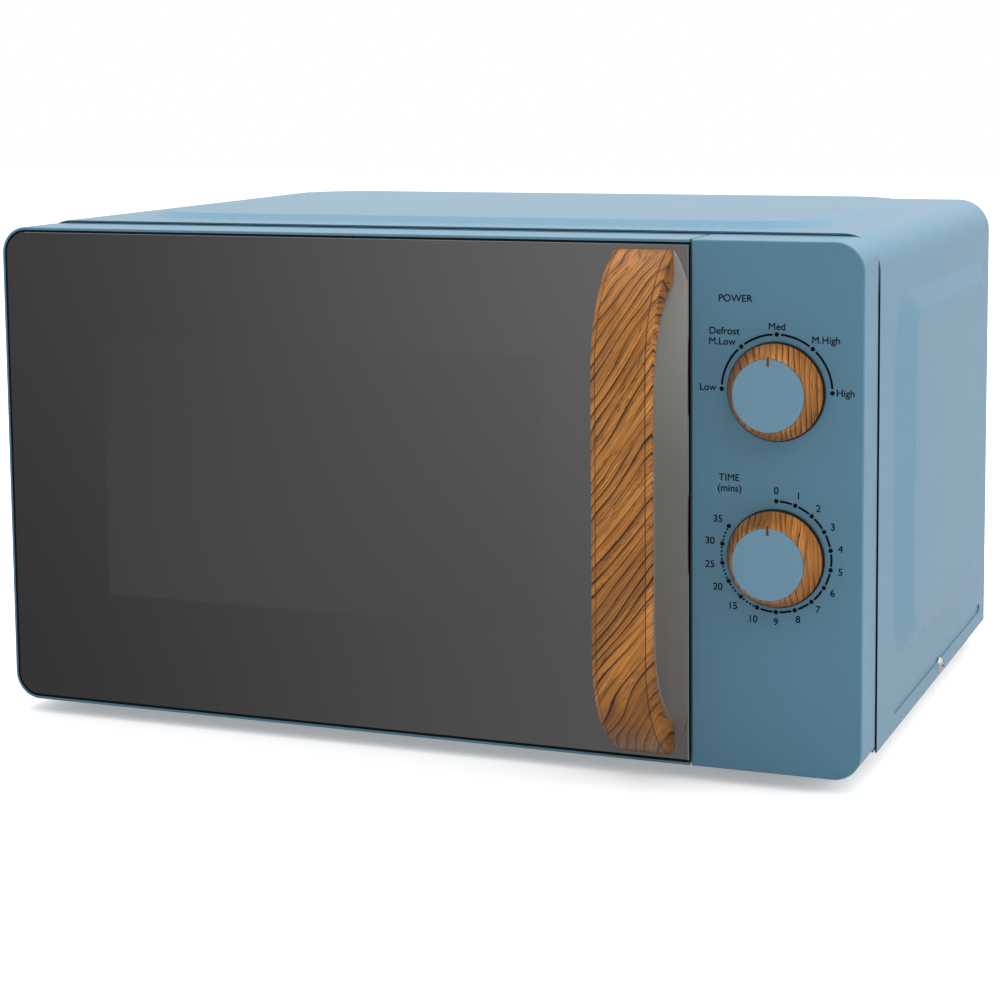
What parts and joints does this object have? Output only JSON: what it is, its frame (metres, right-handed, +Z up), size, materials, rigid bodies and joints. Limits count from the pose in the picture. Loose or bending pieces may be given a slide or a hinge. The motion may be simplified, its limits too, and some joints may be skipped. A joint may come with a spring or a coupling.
{
  "type": "microwave oven",
  "caption": "Table-top microwave oven with a side-hinged dark glass door, bowed wood-effect handle, two turning dials and a turntable in a painted steel cabinet.",
  "frame": {"origin": "middle of the whole width and depth (handle and screw heads included), on the plane that the feet stand on", "axes": "+Z up, +X to the right seen from the front, -Y towards the user"},
  "size_m": [0.4512, 0.3578, 0.2568],
  "materials": {
    "cabinet_paint": "satin light blue paint",
    "zinc_sheet": "zinc coated sheet",
    "cavity_paint": "light grey baked enamel",
    "front_blue": "semi-gloss blue grey moulding",
    "cap_blue": "satin blue grey moulding",
    "dark_glass": "dark tinted, polished",
    "clear_glass": "clear, polished",
    "wood_effect": "satin wood-effect film",
    "grey_plastic": "satin grey moulding",
    "black_plastic": "matt black moulding",
    "white_plastic": "natural moulding",
    "rubber": "soft black",
    "steel": "bright plated steel",
    "screen_black": "black enamel",
    "iron_core": "varnished laminations",
    "copper": "varnished copper wire",
    "aluminium": "bare",
    "mica": "pale mica sheet",
    "board_green": "circuit board"
  },
  "bodies": {
    "cabinet": {"outer_cover": "cabinet_paint", "base_plate": "zinc_sheet", "back_plate": "zinc_sheet", "front_plate": "cabinet_paint", "hinge_brackets": "zinc_sheet", "cavity_shell": "cavity_paint", "cavity_top": "cavity_paint", "cavity_back": "cavity_paint", "waveguide": "zinc_sheet", "waveguide_cover": "mica", "magnetron_yoke": "zinc_sheet", "magnetron_tube": "aluminium", "magnetron_filter_box": "zinc_sheet", "transformer_core": "iron_core", "transformer_coils": "copper", "capacitor": "aluminium", "capacitor_strap": "zinc_sheet", "hv_diode": "black_plastic", "fan_duct": "white_plastic", "fan_motor": "iron_core", "cavity_lamp": "white_plastic", "thermal_cutouts": "black_plastic", "filter_board": "board_green", "mains_gland": "black_plastic", "turntable_motor": "zinc_sheet", "control_panel": "front_blue", "timer_unit": "white_plastic", "latch_board": "white_plastic", "microswitches": "black_plastic", "feet": "rubber", "cover_screws": "steel"},
    "door": {"door_bezel": "front_blue", "door_glass": "dark_glass", "glass_gasket": "rubber", "door_inner_frame": "zinc_sheet", "door_screen": "screen_black", "inner_window": "clear_glass", "choke_cover": "black_plastic", "door_bushes": "white_plastic", "handle_shell": "wood_effect", "handle_back": "grey_plastic", "handle_screws": "steel", "latch_spring": "steel"},
    "latch": {"latch_lever": "white_plastic"},
    "switch_buttons": {"switch_buttons": "white_plastic"},
    "power_knob": {"power_spindle": "black_plastic", "power_knob_ring": "wood_effect", "power_knob_cap": "cap_blue"},
    "timer_knob": {"timer_spindle": "black_plastic", "timer_knob_ring": "wood_effect", "timer_knob_cap": "cap_blue"},
    "turntable": {"turntable_coupler": "white_plastic", "glass_tray": "clear_glass"},
    "roller_ring": {"roller_ring": "white_plastic"},
    "roller_1": {"roller_1": "white_plastic"},
    "roller_2": {"roller_2": "white_plastic"},
    "roller_3": {"roller_3": "white_plastic"},
    "fan": {"fan_blade": "white_plastic"}
  },
  "joints": [
    {"name": "door_swing", "type": "hinge", "parent": "cabinet", "child": "door", "pos_m": [-0.217, -0.11815, 0.13], "axis": [0, 0, -1], "range_deg": [0, 100]},
    {"name": "latch_lift", "type": "slide", "parent": "door", "child": "latch", "axis": [0, 0, 1], "range_m": [0, 0.004], "stiffness_N_per_m": 250, "springref_m": -0.004, "deforming": ["latch_spring"]},
    {"name": "switch_press", "type": "slide", "parent": "cabinet", "child": "switch_buttons", "axis": [0, 1, 0], "range_m": [0, 0.0012], "stiffness_N_per_m": 400},
    {"name": "power_turn", "type": "hinge", "parent": "cabinet", "child": "power_knob", "pos_m": [0.18305, -0.14365, 0.1845], "axis": [0, 1, 0], "range_deg": [-90, 90]},
    {"name": "timer_turn", "type": "hinge", "parent": "cabinet", "child": "timer_knob", "pos_m": [0.18305, -0.14365, 0.10825], "axis": [0, 1, 0], "range_deg": [0, 300]},
    {"name": "turntable_spin", "type": "hinge", "parent": "cabinet", "child": "turntable", "pos_m": [-0.0476, 0.02575, 0.0436], "axis": [0, 0, 1], "continuous": true},
    {"name": "ring_spin", "type": "hinge", "parent": "cabinet", "child": "roller_ring", "pos_m": [-0.0476, 0.02575, 0.0363], "axis": [0, 0, 1], "continuous": true},
    {"name": "roller_1_spin", "type": "hinge", "parent": "roller_ring", "child": "roller_1", "pos_m": [-0.0476, 0.12075, 0.0363], "axis": [0, -1, 0], "continuous": true},
    {"name": "roller_2_spin", "type": "hinge", "parent": "roller_ring", "child": "roller_2", "pos_m": [-0.12987, -0.02175, 0.0363], "axis": [0.866, 0.5, 0], "continuous": true},
    {"name": "roller_3_spin", "type": "hinge", "parent": "roller_ring", "child": "roller_3", "pos_m": [0.03467, -0.02175, 0.0363], "axis": [-0.866, 0.5, 0], "continuous": true},
    {"name": "fan_spin", "type": "hinge", "parent": "cabinet", "child": "fan", "pos_m": [0.1634, 0.15235, 0.152], "axis": [0, 1, 0], "continuous": true}
  ],
  "couplings": [
    {"joint": "ring_spin", "follows": "turntable_spin", "ratio": 0.5},
    {"joint": "roller_1_spin", "follows": "turntable_spin", "ratio": 6.7857},
    {"joint": "roller_2_spin", "follows": "turntable_spin", "ratio": 6.7857},
    {"joint": "roller_3_spin", "follows": "turntable_spin", "ratio": 6.7857}
  ]
}
